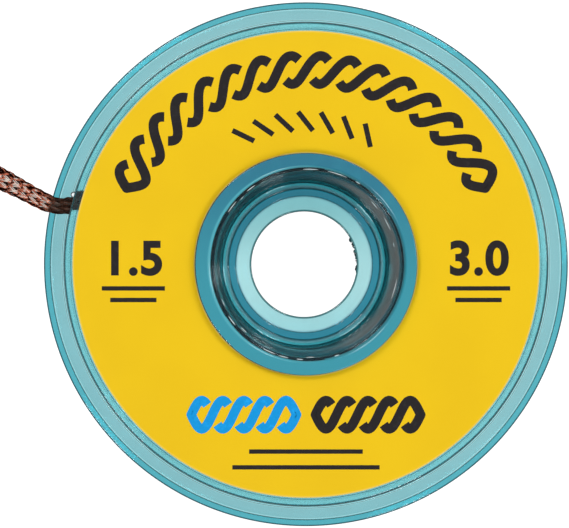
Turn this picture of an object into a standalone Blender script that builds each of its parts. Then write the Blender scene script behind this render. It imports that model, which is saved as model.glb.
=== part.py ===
"""Desoldering braid: copper braid wound in a flat see-through bobbin, with its free end pulled out.

Run it with blender --background --python part.py, or from Blender's text editor.
The bobbin lies on its back: its axis is +Z, its back is z = 0, and the braid leaves towards -X.
"""

import math

import bmesh
import bpy
from mathutils import Vector

MM = 0.001

# Clearance between pieces that seat on or turn round each other
SEAT_GAP = 0.3 * MM

# Base: a thin disc with a raised lip round its edge and a short tube round its hole
BASE_RADIUS = 25.0 * MM
BASE_THICKNESS = 1.0 * MM
LIP_WIDTH = 0.6 * MM
LIP_HEIGHT = 1.8 * MM
HOLE_RADIUS = 5.1 * MM
TUBE_BORE_RADIUS = 6.5 * MM
TUBE_WALL = 0.7 * MM
TUBE_HEIGHT = 3.2 * MM
BASE_EDGE_ROUND = 0.2 * MM

# Cover: a disc that overhangs its skirt, a funnel hub inside and a raised collar round its mouth
CASE_HEIGHT = 11.4 * MM
GROOVE_WIDTH = 1.4 * MM
COVER_THICKNESS = 1.0 * MM
COVER_EDGE_ROUND = 0.3 * MM
COVER_OVERHANG = 0.9 * MM
SKIRT_WALL = 0.8 * MM
COLLAR_WIDTH = 1.6 * MM
COLLAR_HEIGHT = 0.6 * MM
MOUTH_RADIUS = 9.2 * MM
FUNNEL_WALL = 0.8 * MM

# Label: a printed ring that lies in a shallow recess of the cover
LABEL_THICKNESS = 0.1 * MM
LABEL_RECESS = 0.2 * MM
LABEL_GLUE = 0.02 * MM
LABEL_MARGIN = 0.8 * MM

# Slot in the skirt that the braid leaves through
SLOT_ANGLE = math.radians(163.6)
SLOT_WIDTH = 3.4 * MM
SLOT_TOP = 4.6 * MM

# Braid: flat, woven of thin copper wire, wound on the funnel in columns and layers
BRAID_WIDTH = 1.5 * MM
BRAID_THICKNESS = 0.5 * MM
BRAID_LENGTH = 3050.0 * MM
WINDING_SLACK = 0.06 * MM
TURN_GROOVE = 0.15 * MM

# The braid's free end, from the outside of the winding, through the slot, over the lip and
# down to the ground. Each point is (x, y, z, roll): the roll turns the braid's flat side from
# lying against the winding (0) to facing up (90 degrees).
TAIL_ROUTE = (
    (-3.83, 14.29, 5.20, 0.0),
    (-6.44, 13.32, 5.10, 0.0),
    (-10.40, 11.40, 4.80, 15.0),
    (-14.36, 9.48, 4.30, 45.0),
    (-18.20, 7.50, 3.80, 78.0),
    (-20.90, 6.18, 3.60, 90.0),
    (-22.40, 5.58, 3.60, 90.0),
    (-24.00, 5.62, 3.50, 90.0),
    (-25.60, 6.20, 3.20, 90.0),
    (-27.20, 7.10, 2.40, 90.0),
    (-29.30, 8.20, 1.30, 90.0),
    (-31.50, 9.35, 0.60, 90.0),
    (-34.00, 10.70, 0.33, 90.0),
    (-37.00, 12.10, 0.30, 90.0),
    (-40.00, 13.30, 0.30, 90.0),
    (-43.50, 14.40, 0.30, 90.0),
)
TAIL_STEPS = 3
TAIL_SIDE_STEPS = 2

# Facets round the axis, and in each rounded edge
SHELL_STEPS = 72
WINDING_STEPS = 48
ROUND_STEPS = 3

# Sizes that follow from the ones above
LIP_TOP = BASE_THICKNESS + LIP_HEIGHT
TUBE_RADIUS = TUBE_BORE_RADIUS + TUBE_WALL
TUBE_TOP = BASE_THICKNESS + TUBE_HEIGHT
COVER_RADIUS = BASE_RADIUS - LIP_WIDTH - GROOVE_WIDTH
COVER_UNDERSIDE = CASE_HEIGHT - COVER_THICKNESS
COVER_FOOT = BASE_THICKNESS + SEAT_GAP
SKIRT_RADIUS = COVER_RADIUS - COVER_OVERHANG
COLLAR_TOP = CASE_HEIGHT + COLLAR_HEIGHT
FUNNEL_NECK_RADIUS = TUBE_RADIUS + SEAT_GAP
LABEL_BED = CASE_HEIGHT - LABEL_RECESS
LABEL_OUTER_RADIUS = COVER_RADIUS - LABEL_MARGIN
LABEL_INNER_RADIUS = MOUTH_RADIUS + COLLAR_WIDTH


def clear_scene():
    for obj in list(bpy.data.objects):
        bpy.data.objects.remove(obj, do_unlink=True)


def new_collection(name):
    collection = bpy.data.collections.new(name)
    bpy.context.scene.collection.children.link(collection)
    return collection


def finish(name, colour, roughness, metallic=0.0, transmission=0.0):
    """A Principled material with the piece's colour (linear RGB), gloss and metal value."""
    material = bpy.data.materials.new(name)
    material.use_nodes = True
    shader = material.node_tree.nodes["Principled BSDF"]
    shader.inputs["Base Color"].default_value = (*colour, 1.0)
    shader.inputs["Roughness"].default_value = roughness
    shader.inputs["Metallic"].default_value = metallic
    shader.inputs["Transmission Weight"].default_value = transmission
    material.diffuse_color = (*colour, 1.0)
    return material


def arc(centre, radius, start, end):
    """Outline points (radius from the axis, height) on an arc, angles in degrees."""
    points = []
    for step in range(ROUND_STEPS + 1):
        angle = math.radians(start + (end - start) * step / ROUND_STEPS)
        points.append((centre[0] + radius * math.cos(angle), centre[1] + radius * math.sin(angle)))
    return points


def turned(name, outline, steps, collection, material):
    """A closed outline of (radius, height) points, turned about Z.

    The outline runs down its outer side, so that the faces point outwards.
    """
    bm = bmesh.new()
    corners = [bm.verts.new((radius, 0.0, height)) for radius, height in outline]
    for start, end in zip(corners, corners[1:] + corners[:1]):
        bm.edges.new((start, end))
    mesh = bpy.data.meshes.new(name)
    bm.to_mesh(mesh)
    bm.free()
    mesh.materials.append(material)
    obj = bpy.data.objects.new(name, mesh)
    collection.objects.link(obj)
    screw = obj.modifiers.new("turn", "SCREW")
    screw.axis = "Z"
    screw.steps = steps
    screw.render_steps = steps
    screw.use_smooth_shade = True
    return obj


def base_outline():
    """Lip, flat back, hole and hub tube of the base."""
    turn = BASE_EDGE_ROUND
    lip_inside = BASE_RADIUS - LIP_WIDTH
    return [
        *arc((BASE_RADIUS - turn, LIP_TOP - turn), turn, 90, 0),
        *arc((BASE_RADIUS - turn, turn), turn, 0, -90),
        (HOLE_RADIUS, 0.0),
        (HOLE_RADIUS, BASE_THICKNESS),
        (TUBE_BORE_RADIUS, BASE_THICKNESS),
        (TUBE_BORE_RADIUS, TUBE_TOP),
        (TUBE_RADIUS, TUBE_TOP),
        (TUBE_RADIUS, BASE_THICKNESS),
        (lip_inside - turn, BASE_THICKNESS),
        (lip_inside, BASE_THICKNESS + turn),
        (lip_inside, LIP_TOP - turn),
        (lip_inside + turn, LIP_TOP),
    ]


def funnel_radius(height):
    """Bore of the funnel at a height: straight round the base's tube, then a smooth flare."""
    share = (height - TUBE_TOP) / (COLLAR_TOP - TUBE_TOP)
    share = min(max(share, 0.0), 1.0)
    return FUNNEL_NECK_RADIUS + (MOUTH_RADIUS - FUNNEL_NECK_RADIUS) * math.sin(share * math.pi / 2)


def hub_radius(height):
    """Outside of the funnel's wall at a height."""
    return funnel_radius(height) + FUNNEL_WALL


def heights(low, high, count):
    return [low + (high - low) * step / count for step in range(count + 1)]


def cover_outline():
    """Rounded rim, skirt, underside, funnel hub, collar and label recess of the cover."""
    turn = COVER_EDGE_ROUND
    crest = COLLAR_HEIGHT
    outline = arc((COVER_RADIUS - turn, CASE_HEIGHT - turn), turn, 90, 0)
    outline += [
        (COVER_RADIUS, COVER_UNDERSIDE),
        (SKIRT_RADIUS, COVER_UNDERSIDE),
        (SKIRT_RADIUS, COVER_FOOT),
        (SKIRT_RADIUS - SKIRT_WALL, COVER_FOOT),
        (SKIRT_RADIUS - SKIRT_WALL, COVER_UNDERSIDE),
    ]
    for height in reversed(heights(TUBE_TOP, COVER_UNDERSIDE, 5)):
        outline.append((hub_radius(height), height))
    outline.append((hub_radius(COVER_FOOT), COVER_FOOT))
    outline.append((funnel_radius(COVER_FOOT), COVER_FOOT))
    for height in heights(TUBE_TOP, CASE_HEIGHT, 6):
        outline.append((funnel_radius(height), height))
    outline += arc((MOUTH_RADIUS + crest, CASE_HEIGHT), crest, 150, 60)
    outline += [
        (LABEL_INNER_RADIUS - SEAT_GAP, CASE_HEIGHT),
        (LABEL_INNER_RADIUS - SEAT_GAP, LABEL_BED),
        (LABEL_OUTER_RADIUS + SEAT_GAP, LABEL_BED),
        (LABEL_OUTER_RADIUS + SEAT_GAP, CASE_HEIGHT),
    ]
    return outline


def cut_slot(cover, cutters):
    """The braid's slot: a notch from the skirt's foot up to SLOT_TOP."""
    overrun = SKIRT_WALL
    inside = SKIRT_RADIUS - SKIRT_WALL - overrun
    outside = SKIRT_RADIUS + overrun
    foot = COVER_FOOT - overrun
    bm = bmesh.new()
    bmesh.ops.create_cube(bm, size=1.0)
    bmesh.ops.scale(bm, vec=(outside - inside, SLOT_WIDTH, SLOT_TOP - foot), verts=bm.verts)
    bmesh.ops.translate(bm, vec=((inside + outside) / 2, 0.0, (SLOT_TOP + foot) / 2), verts=bm.verts)
    mesh = bpy.data.meshes.new("slot_cutter")
    bm.to_mesh(mesh)
    bm.free()
    cutter = bpy.data.objects.new("slot_cutter", mesh)
    cutter.rotation_euler.z = SLOT_ANGLE
    cutter.hide_render = True
    cutter.display_type = "WIRE"
    cutters.objects.link(cutter)
    cut = cover.modifiers.new("slot", "BOOLEAN")
    cut.operation = "DIFFERENCE"
    cut.solver = "EXACT"
    cut.object = cutter


def label_outline():
    bottom = LABEL_BED + LABEL_GLUE
    top = bottom + LABEL_THICKNESS
    return [
        (LABEL_OUTER_RADIUS, top),
        (LABEL_OUTER_RADIUS, bottom),
        (LABEL_INNER_RADIUS, bottom),
        (LABEL_INNER_RADIUS, top),
    ]


def winding_columns():
    """(low, high, bore radius) of each column of turns that fits between base and cover."""
    low = BASE_THICKNESS + SEAT_GAP
    high = COVER_UNDERSIDE - SEAT_GAP
    count = max(1, int((high - low) / BRAID_WIDTH))
    edges = heights(low, high, count)
    return [(a, b, hub_radius(b) + SEAT_GAP) for a, b in zip(edges, edges[1:])]


def winding_radius():
    """Outer radius of the winding, from the braid's length: a spiral's length in one column is
    the column's ring area divided by the distance from turn to turn."""
    columns = winding_columns()
    layer = BRAID_THICKNESS + WINDING_SLACK
    bores = sum(bore * bore for low, high, bore in columns)
    return math.sqrt((BRAID_LENGTH * layer / math.pi + bores) / len(columns))


def turn_edges(inner, outer, height, groove):
    """Points along an end of the winding, from outside to inside, with a groove between turns."""
    layer = BRAID_THICKNESS + WINDING_SLACK
    count = max(1, round((outer - inner) / layer))
    radii = heights(outer, inner, count)
    points = []
    for start, end in zip(radii, radii[1:]):
        points.append(((start + end) / 2, height))
        points.append((end, height + groove))
    return points[:-1]


def winding_outline():
    """The wound braid in section: columns show on its outside and layers on its two ends."""
    columns = winding_columns()
    outer = winding_radius()
    bottom, top = columns[0][0], columns[-1][1]
    outline = []
    for low, high, bore in reversed(columns):
        shoulder = (high - low) / 6
        outline.append((outer - TURN_GROOVE, high))
        outline.append((outer, high - shoulder))
        outline.append((outer, low + shoulder))
    outline.append((outer - TURN_GROOVE, bottom))
    outline += turn_edges(columns[0][2], outer, bottom, TURN_GROOVE)
    for low, high, bore in columns:
        outline.append((bore, low))
        outline.append((bore, high))
    outline += reversed(turn_edges(columns[-1][2], outer, top, -TURN_GROOVE))
    return outline


def smooth_route(route, steps):
    """Points on a Catmull-Rom curve through the route, with the roll carried along."""
    knots = [Vector(point) for point in route]
    knots = [2 * knots[0] - knots[1], *knots, 2 * knots[-1] - knots[-2]]
    points = []
    for before, start, end, after in zip(knots, knots[1:], knots[2:], knots[3:]):
        for step in range(steps):
            t = step / steps
            bend = 2 * before - 5 * start + 4 * end - after
            twist = 3 * (start - end) + after - before
            points.append(start + ((end - before) * t + bend * t * t + twist * t ** 3) / 2)
    points.append(knots[-2])
    return points


def braid_tail(collection, material):
    """The free end as a flat ribbon with round edges along its route."""
    points = smooth_route(TAIL_ROUTE, TAIL_STEPS)
    curve = bpy.data.curves.new("braid_tail", "CURVE")
    curve.dimensions = "3D"
    curve.twist_mode = "Z_UP"
    curve.bevel_depth = BRAID_THICKNESS / 2
    curve.extrude = (BRAID_WIDTH - BRAID_THICKNESS) / 2
    curve.bevel_resolution = TAIL_SIDE_STEPS
    curve.use_fill_caps = True
    spline = curve.splines.new("POLY")
    spline.points.add(len(points) - 1)
    for knot, (x, y, z, roll) in zip(spline.points, points):
        knot.co = (x * MM, y * MM, z * MM, 1.0)
        knot.tilt = math.radians(roll)
    curve.materials.append(material)
    tail = bpy.data.objects.new("braid_tail", curve)
    collection.objects.link(tail)
    return tail


def main():
    clear_scene()
    bobbin = new_collection("desoldering_braid")
    cutters = new_collection("cutters")
    tinted = finish("tinted_plastic", (0.10, 0.42, 0.50), 0.12, transmission=0.8)
    paper = finish("label_paper", (0.86, 0.55, 0.008), 0.45)
    copper = finish("copper_braid", (0.52, 0.17, 0.10), 0.35, metallic=1.0)
    turned("base_shell", base_outline(), SHELL_STEPS, bobbin, tinted)
    cover = turned("cover_shell", cover_outline(), SHELL_STEPS, bobbin, tinted)
    cut_slot(cover, cutters)
    turned("label", label_outline(), SHELL_STEPS, bobbin, paper)
    turned("wound_braid", winding_outline(), WINDING_STEPS, bobbin, copper)
    braid_tail(bobbin, copper)


main()
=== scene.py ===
"""Desoldering braid in its see-through bobbin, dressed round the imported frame.

The bobbin lies on its back with its axis on +Z; the braid leaves towards -X and lies on the floor.
"""

import math
import random

import bmesh
import bpy
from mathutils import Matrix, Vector


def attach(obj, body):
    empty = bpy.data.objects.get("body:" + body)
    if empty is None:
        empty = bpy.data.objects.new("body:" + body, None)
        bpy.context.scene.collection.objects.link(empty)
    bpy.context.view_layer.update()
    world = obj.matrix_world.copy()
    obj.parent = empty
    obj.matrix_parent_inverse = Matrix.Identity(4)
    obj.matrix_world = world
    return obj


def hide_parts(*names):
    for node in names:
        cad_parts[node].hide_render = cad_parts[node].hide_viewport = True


bl_info = {
    "name": "Desoldering braid bobbin",
    "version": (1, 0, 0),
    "blender": (4, 5, 0),
    "location": "View3D > Sidebar > Bobbin",
    "description": "Models a see-through bobbin of copper desoldering braid, piece by piece",
    "category": "Add Mesh",
}

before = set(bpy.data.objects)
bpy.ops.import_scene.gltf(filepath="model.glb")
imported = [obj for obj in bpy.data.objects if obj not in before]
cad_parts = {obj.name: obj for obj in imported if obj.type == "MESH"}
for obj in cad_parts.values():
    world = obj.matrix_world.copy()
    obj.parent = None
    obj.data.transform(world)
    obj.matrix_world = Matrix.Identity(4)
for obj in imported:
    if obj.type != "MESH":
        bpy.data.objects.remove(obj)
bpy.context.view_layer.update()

MM = 0.001
FULL_TURN = 2 * math.pi

# The braid's free end in millimetres: x, y, z and the roll of its flat side in degrees
TAIL_ROUTE = (
    (-3.83, 14.29, 5.20, 0.0),
    (-6.44, 13.32, 5.10, 0.0),
    (-10.40, 11.40, 4.80, 15.0),
    (-14.36, 9.48, 4.30, 45.0),
    (-18.20, 7.50, 3.80, 78.0),
    (-20.90, 6.18, 3.60, 90.0),
    (-22.40, 5.58, 3.60, 90.0),
    (-24.00, 5.62, 3.50, 90.0),
    (-25.60, 6.30, 3.20, 90.0),
    (-27.20, 7.17, 2.40, 90.0),
    (-29.30, 8.25, 1.30, 90.0),
    (-31.50, 9.35, 0.60, 90.0),
    (-34.00, 10.70, 0.33, 90.0),
    (-37.00, 12.10, 0.30, 90.0),
    (-40.00, 13.30, 0.30, 90.0),
    (-43.50, 14.40, 0.30, 90.0),
)
# Steps in which the mouldings and the label are spun, how near points of them are welded, and the
# angle in degrees up to which they shade smooth
SPIN_STEPS = 288
WELD = 0.002 * MM
SMOOTH_BELOW = 38
# The funnel's step over the base's tube, up from the tube's top, and the ledge under the collar's top
TUBE_STEP = 0.36 * MM
LEDGE_DEPTH = 0.75 * MM
# The slot in the skirt, and the nib on the rim beside it
SLOT_ANGLE = math.radians(163.6)
SLOT_SIZE = (2.4 * MM, 3.4 * MM)
SLOT_LOW, SLOT_HIGH, SLOT_ROUNDING = 0.5 * MM, 4.6 * MM, 0.7 * MM
NIB_ANGLE = math.radians(163.35)
NIB_RADIUS = 0.30 * MM
# The label in its bed, and the ink on it
LABEL_GAP, LABEL_THICKNESS = 0.02 * MM, 0.1 * MM
INK_THICKNESS = 0.012 * MM
PLAIT_SWING, PLAIT_WIDTH, PLAIT_GAP = 1.35 * MM, 0.92 * MM, 0.24
# Room between the winding and the plastic, and the points in one of its turns
WINDING_ROOM = 0.3 * MM
TURN_POINTS = 60
# The free end's wires: how far they stray round the braid as a share of the way round, and up and
# down, with the lengths of those waves; how far apart they are cut; and how long and far they fray
STRAY_ROUND, STRAY_LIFT = 0.009, 0.02 * MM
STRAY_ROUND_WAVE, STRAY_LIFT_WAVE = 1.3 * MM, 0.9 * MM
CUT_SPREAD = 0.3 * MM
FRAY_LENGTH, FRAY = 1.6 * MM, 0.22 * MM
# The kink where the free end leaves the slot: its place along X, its length and how far it bulges
KINK_PLACE, KINK_LENGTH, KINK = -22.7 * MM, 0.4 * MM, 0.16
# The softboxes: angle round the bobbin in degrees, height and width of each; how far they all stand
# from the axis, how long they are, and their watts per square metre at a sidebar value of 1
LAMPS = ((128, 0.54, 0.16), (62, 0.56, 0.10), (8, 0.46, 0.10), (-68, 0.54, 0.10), (-140, 0.52, 0.12))
LAMP_REACH, LAMP_LENGTH, LAMP_POWER = 0.42, 0.22, 40
# Painted highlights in the funnel's mouth, white strips that stand in for reflections: first and last
# angle in degrees, and radius in millimetres
MOUTH_GLINTS = (
    (124.0, 130.0, 9.04), (133.5, 136.5, 8.90), (139.0, 147.0, 9.06), (84.0, 93.0, 9.03),
    (66.0, 78.0, 9.03), (57.0, 60.0, 9.08), (38.0, 44.0, 8.62), (22.0, 31.0, 8.64), (11.0, 14.0, 8.58),
    (-22.0, -9.0, 8.70), (-74.0, -71.0, 9.10), (-91.0, -86.0, 8.86), (-97.0, -93.0, 9.08),
    (-108.0, -102.0, 9.10), (-118.0, -110.0, 9.08), (-136.0, -131.0, 8.62), (-147.0, -140.0, 9.02),
    (-158.0, -153.0, 8.80),
)


def length(name, description, value):
    """A size that the sidebar shows, given in millimetres."""
    return bpy.props.FloatProperty(
        name=name, description=description, default=value * MM, min=0.0, unit="LENGTH",
        subtype="DISTANCE", precision=5)


def colour(name, description, value):
    """A colour that the sidebar shows, in linear RGB."""
    return bpy.props.FloatVectorProperty(
        name=name, description=description, default=value, size=3, min=0.0, max=1.0, subtype="COLOR")


class BobbinSizes(bpy.types.PropertyGroup):
    """Sizes of the two plastic mouldings."""

    base_radius: length("Base radius", "Outside of the base's lip", 25.0)
    base_thickness: length("Base thickness", "Thickness of the base's disc", 1.0)
    lip_width: length("Lip width", "Wall of the lip round the base", 0.6)
    lip_top: length("Lip top", "Height of the lip's top over the floor", 2.8)
    hole_radius: length("Hole radius", "Radius of the through hole", 5.03)
    tube_bore: length("Tube bore", "Bore radius of the tube round the hole", 6.5)
    tube_wall: length("Tube wall", "Wall of the tube round the hole", 0.7)
    tube_top: length("Tube top", "Height of the tube's top over the floor", 4.2)
    cover_radius: length("Cover radius", "Outside of the cover's disc", 23.0)
    cover_top: length("Cover top", "Height of the cover's face", 11.4)
    cover_thickness: length("Cover thickness", "Thickness of the cover's disc", 1.0)
    overhang: length("Overhang", "How far the cover's disc stands out over its skirt", 0.9)
    skirt_wall: length("Skirt wall", "Wall of the skirt and of the funnel hub", 0.8)
    cover_foot: length("Cover foot", "Height of the skirt's foot over the floor", 1.3)
    mouth_radius: length("Mouth radius", "Radius of the funnel's mouth", 9.2)
    mouth_ledge: length("Mouth ledge", "Width of the ledge just inside the mouth", 0.27)
    neck_radius: length("Neck radius", "Bore radius of the funnel's neck", 7.5)
    neck_step: length("Neck step", "How far the funnel steps in over the base's tube", 0.28)
    collar_radius: length("Collar radius", "Outside of the raised collar round the mouth", 10.54)
    collar_top: length("Collar top", "Height of the collar's top over the floor", 12.0)
    label_bed: length("Label bed", "Height of the bed that the label lies in", 11.2)
    label_outer: length("Label outer radius", "Outer radius of the label", 22.2)
    label_inner: length("Label inner radius", "Inner radius of the label", 10.56)
    mouth_offset: length("Mouth offset", "How far the funnel's mouth stands off the axis", 0.20)
    tube_offset: length("Tube offset", "How far the base's tube stands off the axis", 0.17)


class BraidSizes(bpy.types.PropertyGroup):
    """Sizes of the copper braid and its winding."""

    width: length("Braid width", "Width of the flat braid", 1.5)
    thickness: length("Braid thickness", "Thickness of the flat braid", 0.5)
    wire: length("Wire diameter", "Diameter of one copper wire", 0.086)
    lift: length("Wire lift", "How far a bundle of wires rises over the one it crosses", 0.055)
    lay: length("Lay length", "Length of braid in which a bundle goes once round it", 14.0)
    winding_radius: length("Winding radius", "Outside of the wound braid", 14.03)
    carriers: bpy.props.IntProperty(
        name="Bundles each way", description="Bundles of wires that run each way round the braid",
        default=12, min=2, max=24)
    strands: bpy.props.IntProperty(
        name="Wires in a bundle", description="Wires that lie side by side in one bundle",
        default=3, min=1, max=8)
    layers: bpy.props.IntProperty(
        name="Layers", description="Layers of turns on the hub", default=8, min=1, max=30)
    columns: bpy.props.IntProperty(
        name="Turns in a layer", description="Turns side by side in one layer", default=5, min=1, max=20)


class BobbinColours(bpy.types.PropertyGroup):
    """Colours of the plastic, the label's print and the copper."""

    plastic: colour("Plastic", "Tint of the plastic's surface", (0.93, 0.985, 0.99))
    plastic_depth: colour("Plastic depth", "Light that a millimetre of plastic lets through",
                          (0.50, 0.83, 0.86))
    collar: colour("Collar", "Frosted ring round the funnel's mouth", (0.024, 0.292, 0.372))
    label: colour("Label", "Yellow of the label", (0.863, 0.552, 0.008))
    ink: colour("Dark ink", "Charcoal of the label's print", (0.014, 0.011, 0.012))
    ink_blue: colour("Blue ink", "Blue of the label's print", (0.0, 0.30, 0.71))
    copper: colour("Copper", "Copper wire between crowns and dips", (0.90, 0.27, 0.15))
    # Painted highlight: the wire on the crowns drawn nearly white
    copper_crown_glint: colour("Crown copper", "Wire polished bright on the crowns", (1.0, 0.87, 0.78))
    # Painted shade: the wire in the dips drawn nearly black
    copper_dip_shade: colour("Low copper", "Wire where it dips under a crossing bundle", (0.040, 0.004, 0.001))
    # Painted shade: the copper near the slot drawn dark, out to just past the lip
    copper_slot_shade: colour("Stained copper", "Copper near the slot, under dried flux", (0.042, 0.022, 0.015))


class StudioValues(bpy.types.PropertyGroup):
    """Camera and light."""

    camera_height: length("Camera height", "Height of the camera over the label", 2000.0)
    frame_width: length("Frame width", "Width of the picture at the label", 54.06)
    aim_x: bpy.props.FloatProperty(
        name="Aim", description="Where the picture's middle lies along X", default=-2.04 * MM, unit="LENGTH")
    glow: bpy.props.FloatProperty(
        name="Floor glow", description="How far the floor is lit from below", default=0.95, min=0.0)
    slant_glow: bpy.props.FloatProperty(
        name="Slant glow", description="Share of the floor's glow that leaves it aslant", default=0.25,
        min=0.0)
    fill: bpy.props.FloatProperty(
        name="Fill light", description="Light of the surroundings", default=0.32, min=0.0)
    overhead: bpy.props.FloatProperty(
        name="Overhead light", description="Light from straight above, over the fill light",
        default=0.25, min=0.0)
    softbox: bpy.props.FloatProperty(
        name="Softboxes", description="Strength of the softboxes over the table", default=0.8, min=0.0)


def values(group):
    return getattr(bpy.context.scene, group)


def deselect():
    """Object mode with nothing selected, which is how each piece starts."""
    if bpy.context.mode != "OBJECT":
        bpy.ops.object.mode_set(mode="OBJECT")
    bpy.ops.object.select_all(action="DESELECT")


def only(obj):
    deselect()
    obj.select_set(True)
    bpy.context.view_layer.objects.active = obj


def named(obj, name):
    obj.name = name
    obj.data.name = name
    return obj


def apply_place():
    """Bakes the active object's place, turn and size into its mesh."""
    bpy.ops.object.transform_apply(location=True, rotation=True, scale=True)


def coat(obj, *materials):
    """Gives an object these materials and no others."""
    obj.data.materials.clear()
    for material in materials:
        obj.data.materials.append(material)


def polar(radius, angle):
    """A flat place at a distance from the axis, at an angle in radians."""
    return radius * math.cos(angle), radius * math.sin(angle)


def from_axis(place):
    return math.hypot(place.x, place.y)


def pick(obj, test):
    """Selects, in edit mode, the vertices whose place passes the test."""
    mesh = bmesh.from_edit_mesh(obj.data)
    count = 0
    for vert in mesh.verts:
        chosen = test(vert.co)
        vert.select_set(chosen)
        count += chosen
    mesh.select_flush_mode()
    bmesh.update_edit_mesh(obj.data)
    if not count:
        raise RuntimeError(f"nothing to select on {obj.name}")


def face_outward():
    """Turns the normals of a closed mesh outwards and leaves edit mode."""
    bpy.ops.mesh.select_all(action="SELECT")
    bpy.ops.mesh.normals_make_consistent(inside=False)
    bpy.ops.object.mode_set(mode="OBJECT")


def arc(centre, radius, start, end, steps):
    """Outline points on an arc, angles in degrees."""
    points = []
    for step in range(steps + 1):
        x, y = polar(radius, math.radians(start + (end - start) * step / steps))
        points.append((centre[0] + x, centre[1] + y))
    return points


def turned(name, outline):
    """A closed outline of (radius, height) points, drawn point by point and spun round the axis."""
    deselect()
    radius, height = outline[0]
    bpy.ops.mesh.primitive_plane_add(size=MM, location=(radius, 0.0, height))
    obj = named(bpy.context.object, name)
    apply_place()
    bpy.ops.object.mode_set(mode="EDIT")
    bpy.ops.mesh.select_all(action="SELECT")
    bpy.ops.mesh.merge(type="CENTER")
    for start, end in zip(outline, outline[1:]):
        step = (end[0] - start[0], 0.0, end[1] - start[1])
        bpy.ops.mesh.extrude_region_move(TRANSFORM_OT_translate={"value": step})
    ends = [Vector((x, 0.0, z)) for x, z in (outline[0], outline[-1])]
    bpy.ops.mesh.select_mode(type="VERT")
    pick(obj, lambda place: min((place - end).length for end in ends) < 2 * WELD)
    bpy.ops.mesh.edge_face_add()
    bpy.ops.mesh.select_all(action="SELECT")
    bpy.ops.mesh.spin(steps=SPIN_STEPS, angle=FULL_TURN, center=(0, 0, 0), axis=(0, 0, 1))
    bpy.ops.mesh.select_all(action="SELECT")
    bpy.ops.mesh.remove_doubles(threshold=WELD)
    face_outward()
    return obj


def carve(obj, cutter, operation):
    """Joins or cuts a closed shape with the cutter, which is then gone."""
    only(obj)
    tool = obj.modifiers.new("carve", "BOOLEAN")
    tool.operation, tool.solver, tool.object = operation, "EXACT", cutter
    bpy.ops.object.modifier_apply(modifier=tool.name)
    bpy.data.objects.remove(cutter, do_unlink=True)


def bevelled_curve(name, radius, resolution):
    curve = bpy.data.curves.new(name, "CURVE")
    curve.dimensions = "3D"
    curve.bevel_depth = radius
    curve.bevel_resolution = resolution
    return curve


def polyline(curve, points):
    """Adds a spline with straight steps through the points, and gives back its knots."""
    spline = curve.splines.new("POLY")
    spline.points.add(len(points) - 1)
    for knot, point in zip(spline.points, points):
        knot.co = (*point, 1.0)
    return spline.points


def meshed(curve, name):
    """A bevelled curve made a mesh, ring after ring along each spline, with its ends closed."""
    obj = bpy.data.objects.new(name, curve)
    bpy.context.scene.collection.objects.link(obj)
    only(obj)
    bpy.ops.object.convert(target="MESH")
    obj = named(bpy.context.object, name)
    bpy.ops.object.mode_set(mode="EDIT")
    bpy.ops.mesh.select_all(action="SELECT")
    bpy.ops.mesh.fill_holes(sides=0)
    face_outward()
    return obj


def smooth(obj, degrees):
    only(obj)
    bpy.ops.object.shade_smooth_by_angle(angle=math.radians(degrees))


def placed(obj, body, slot, *nodes):
    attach(obj, body)
    if nodes:
        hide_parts(*nodes)


def blank_material(name):
    """A material with its node tree and its Principled shader."""
    material = bpy.data.materials.new(name)
    material.use_nodes = True
    return material, material.node_tree, material.node_tree.nodes["Principled BSDF"]


def feed(tree, socket, value):
    """Links a node's output to a socket, or sets the socket to a plain value."""
    if isinstance(value, bpy.types.NodeSocket):
        tree.links.new(value, socket)
    else:
        socket.default_value = value


def set_inputs(tree, node, **inputs):
    """Feeds a node's inputs; an underscore in a key stands for a space."""
    for key, value in inputs.items():
        feed(tree, node.inputs[key.replace("_", " ")], value)


def add(tree, kind, **settings):
    """A node; settings that are its inputs, by name or as i0, i1..., are fed, the others set."""
    node = tree.nodes.new(kind)
    for key, value in settings.items():
        if hasattr(node, key):
            setattr(node, key, value)
        elif key[0] == "i" and key[1:].isdigit():
            feed(tree, node.inputs[int(key[1:])], value)
        else:
            feed(tree, node.inputs[key], value)
    return node


def math_node(tree, operation, first, second=0.0, third=0.0):
    return add(tree, "ShaderNodeMath", operation=operation, i0=first, i1=second, i2=third).outputs[0]


def times(tree, first, second):
    return math_node(tree, "MULTIPLY", first, second)


def times_plus(tree, value, factor, start):
    return math_node(tree, "MULTIPLY_ADD", value, factor, start)


def sine(tree, value):
    return math_node(tree, "SINE", value)


def ramp(tree, value, low, high, start=0.0, end=1.0):
    """A value mapped smoothly from low..high to start..end."""
    ends = {"From Min": low, "From Max": high, "To Min": start, "To Max": end}
    node = add(tree, "ShaderNodeMapRange", interpolation_type="SMOOTHSTEP", Value=value, **ends)
    return node.outputs["Result"]


def blend(tree, share, first, second, mode="MIX"):
    """Two colours mixed by a share."""
    first, second = (tone if isinstance(tone, bpy.types.NodeSocket) else (*tone, 1.0)
                     for tone in (first, second))
    node = add(tree, "ShaderNodeMix", data_type="RGBA", blend_type=mode, i0=share, i6=first, i7=second)
    return node.outputs[2]


def shaded(tree, share, tone, shade):
    """A colour that a shade darkens, as far as the share says."""
    return blend(tree, share, tone, blend(tree, 1.0, tone, shade, "MULTIPLY"))


def noise(tree, vector, scale, detail=3.0, roughness=0.55, stretch=None):
    """Noise read from Object coordinates, stretched where a grain has a direction."""
    if stretch:
        vector = add(tree, "ShaderNodeMapping", vector_type="POINT", Scale=stretch, Vector=vector).outputs[0]
    node = add(tree, "ShaderNodeTexNoise", Scale=scale, Detail=detail, Roughness=roughness, Vector=vector)
    return node.outputs["Fac"]


def bump(tree, height, strength, distance):
    return add(tree, "ShaderNodeBump", Strength=strength, Distance=distance, Height=height).outputs[0]


def object_vector(tree):
    return add(tree, "ShaderNodeTexCoord").outputs["Object"]


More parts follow.
